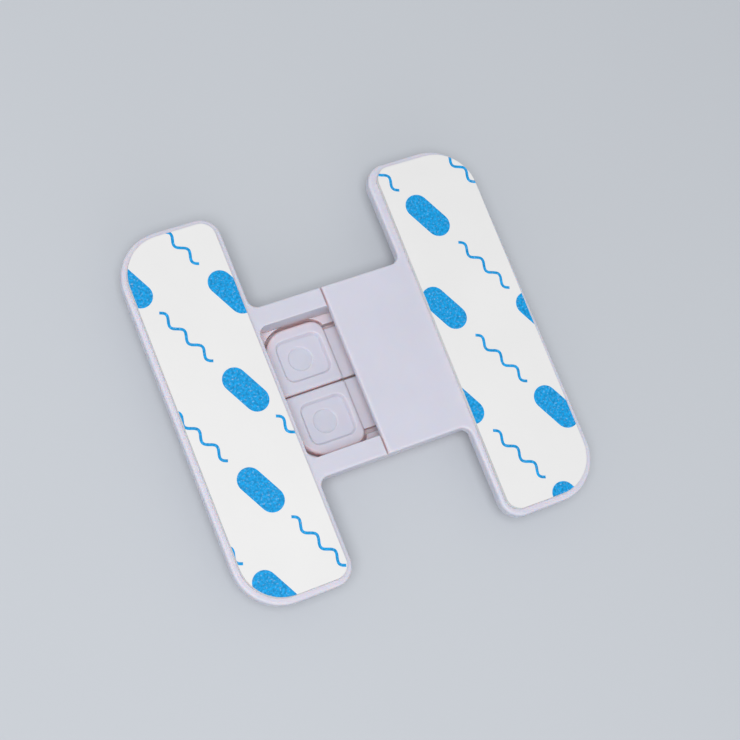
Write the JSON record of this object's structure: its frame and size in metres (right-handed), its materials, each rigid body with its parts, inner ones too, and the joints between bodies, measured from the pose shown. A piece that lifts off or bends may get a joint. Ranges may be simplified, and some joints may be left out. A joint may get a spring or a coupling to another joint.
{
  "type": "adhesive child safety latch",
  "caption": "H-shaped stick-on child safety latch: a keeper half and a tongue half, joined by push-button latch arms that sit in an open-backed pocket between the adhesive bars.",
  "frame": {"origin": "centre of the H on the plane of its front face, which it lies on", "axes": "+Z from the front face to the adhesive side, X along the neck with the keeper half at -X, Y along the bars"},
  "size_m": [0.0804, 0.08, 0.0117],
  "materials": {
    "housing": "satin",
    "button": "satin",
    "foam": "matte",
    "liner": "satin",
    "steel": "satin"
  },
  "bodies": {
    "keeper": {"keeper_front_shell": "housing", "keeper_back_plate": "housing", "keeper_foam_pad": "foam", "keeper_release_liner": "liner", "keeper_screw_1": "steel", "keeper_screw_2": "steel", "keeper_screw_3": "steel"},
    "tongue_half": {"tongue_front_shell": "housing", "tongue_back_plate": "housing", "tongue_foam_pad": "foam", "tongue_release_liner": "liner", "tongue_screw_1": "steel", "tongue_screw_2": "steel", "tongue_screw_3": "steel", "hinge_pin": "steel", "upper_return_spring": "steel", "lower_return_spring": "steel"},
    "upper_button": {"upper_latch_arm": "housing", "upper_button_cap": "button"},
    "lower_button": {"lower_latch_arm": "housing", "lower_button_cap": "button"}
  },
  "joints": [
    {"name": "tongue_lift_out", "type": "slide", "parent": "keeper", "child": "tongue_half", "axis": [0, 0, 1], "range_m": [0, 0.014]},
    {"name": "upper_press", "type": "hinge", "parent": "tongue_half", "child": "upper_button", "pos_m": [0.013, 0, 0.0043], "axis": [0, 1, 0], "range_deg": [0, 8.5], "stiffness_Nm_per_rad": 0.3, "springref_deg": -8.59, "deforming": ["upper_return_spring"]},
    {"name": "lower_press", "type": "hinge", "parent": "tongue_half", "child": "lower_button", "pos_m": [0.013, 0, 0.0043], "axis": [0, 1, 0], "range_deg": [0, 8.5], "stiffness_Nm_per_rad": 0.3, "springref_deg": -8.59, "deforming": ["lower_return_spring"]}
  ]
}
